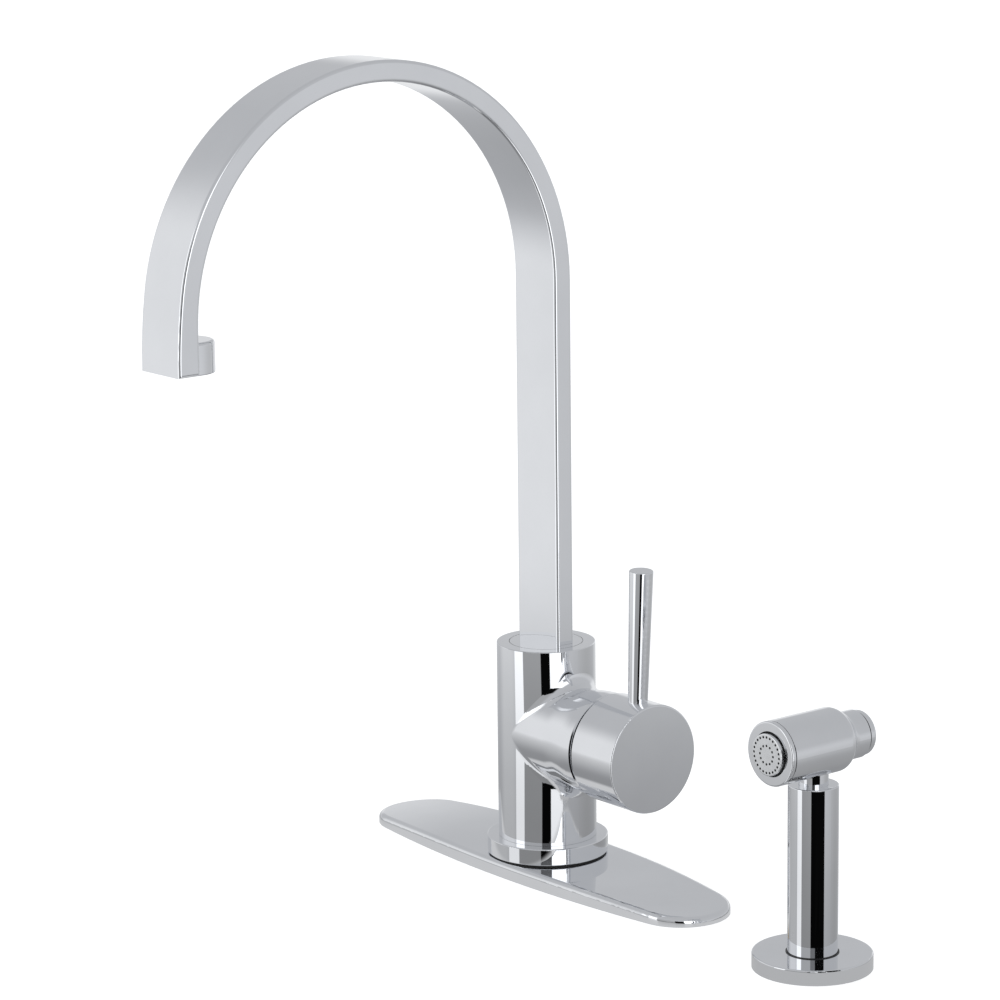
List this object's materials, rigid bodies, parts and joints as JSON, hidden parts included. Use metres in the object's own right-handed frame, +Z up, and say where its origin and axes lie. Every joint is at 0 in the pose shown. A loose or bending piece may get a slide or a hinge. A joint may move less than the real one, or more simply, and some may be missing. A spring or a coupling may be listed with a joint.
{
  "type": "kitchen faucet",
  "caption": "Single-lever kitchen faucet with a swivelling flat-bar gooseneck spout on a boat-shaped deck plate, and a side spray that lifts out of its holder.",
  "frame": {"origin": "on the faucet body axis, at the deck surface that the plate and the spray holder stand on", "axes": "+Z up; -Y to the front, where the spout points; +X to the user's right, towards the lever and the side spray"},
  "size_m": [0.3587, 0.261, 0.4754],
  "materials": {
    "chrome": "polished",
    "brass": "machined",
    "steel": "machined",
    "spray_plate": "satin",
    "black_plastic": "matt",
    "white_plastic": "matt",
    "grey_plastic": "matt",
    "ceramic": "glazed",
    "rubber": "matt"
  },
  "bodies": {
    "base": {"deck_plate": "chrome", "deck_plate_liner": "black_plastic", "flange_gasket": "rubber", "base_flange": "chrome", "valve_body": "chrome", "mounting_shank": "brass", "shank_rubber_washer": "rubber", "shank_steel_washer": "steel", "shank_nut": "brass", "spout_grub_screw": "steel", "glide_ring": "white_plastic", "cartridge_base": "grey_plastic", "cartridge_seals": "rubber", "fixed_disc": "ceramic", "cartridge_housing": "grey_plastic", "cartridge_nut": "brass", "bonnet": "chrome", "diverter_body": "white_plastic", "diverter_seal": "rubber", "spray_holder": "chrome", "holder_gasket": "rubber", "holder_liner": "black_plastic", "holder_washer": "rubber", "holder_nut": "brass"},
    "diverter": {"diverter_piston": "grey_plastic"},
    "spout": {"spout": "chrome", "spout_stem": "chrome", "spout_o_rings": "rubber", "aerator_insert": "white_plastic", "aerator_screen": "steel", "aerator_washer": "rubber"},
    "rotor": {"cartridge_rotor": "white_plastic", "lever_pin": "steel"},
    "handle": {"stem_lever": "brass", "handle_cap": "chrome", "handle_rod": "chrome", "handle_set_screw": "steel"},
    "disc": {"moving_disc": "ceramic", "disc_carrier": "grey_plastic"},
    "spray_tail": {"hose_connector": "brass", "connector_clip": "steel", "connector_o_ring": "rubber", "check_valve": "white_plastic"},
    "spray": {"spray_grip": "chrome", "spray_neck": "chrome", "spray_head": "chrome", "spray_face_ring": "chrome", "spray_face": "spray_plate", "face_seal": "rubber", "spray_core": "white_plastic", "button_spring": "steel"},
    "button": {"spray_button": "chrome", "spray_plunger": "brass", "plunger_o_rings": "rubber"}
  },
  "joints": [
    {"name": "spout_swivel", "type": "hinge", "parent": "base", "child": "spout", "pos_m": [0, 0, 0.11], "axis": [0, 0, 1], "continuous": true},
    {"name": "handle_turn", "type": "hinge", "parent": "base", "child": "rotor", "pos_m": [0.032, 0, 0.0735], "axis": [1, 0, 0], "range_deg": [-45, 45]},
    {"name": "handle_tilt", "type": "hinge", "parent": "rotor", "child": "handle", "pos_m": [0.032, 0, 0.0735], "axis": [0, 1, 0], "range_deg": [0, 20]},
    {"name": "disc_slide", "type": "slide", "parent": "rotor", "child": "disc", "axis": [0, 0, 1], "range_m": [0, 0.0023]},
    {"name": "diverter_shift", "type": "slide", "parent": "base", "child": "diverter", "axis": [0, 0, 1], "range_m": [0, 0.003]},
    {"name": "spray_lift", "type": "slide", "parent": "base", "child": "spray_tail", "axis": [0, 0, 1], "range_m": [0, 0.13]},
    {"name": "spray_swivel", "type": "hinge", "parent": "spray_tail", "child": "spray", "pos_m": [0.2032, -0.00662, 0], "axis": [0, 0, 1], "continuous": true},
    {"name": "button_press", "type": "slide", "parent": "spray", "child": "button", "axis": [0, -1, 0], "range_m": [0, 0.0035], "stiffness_N_per_m": 2000, "springref_m": -0.0015, "deforming": ["button_spring"]}
  ],
  "couplings": [
    {"joint": "disc_slide", "follows": "handle_tilt", "m_per_rad": 0.0064}
  ]
}
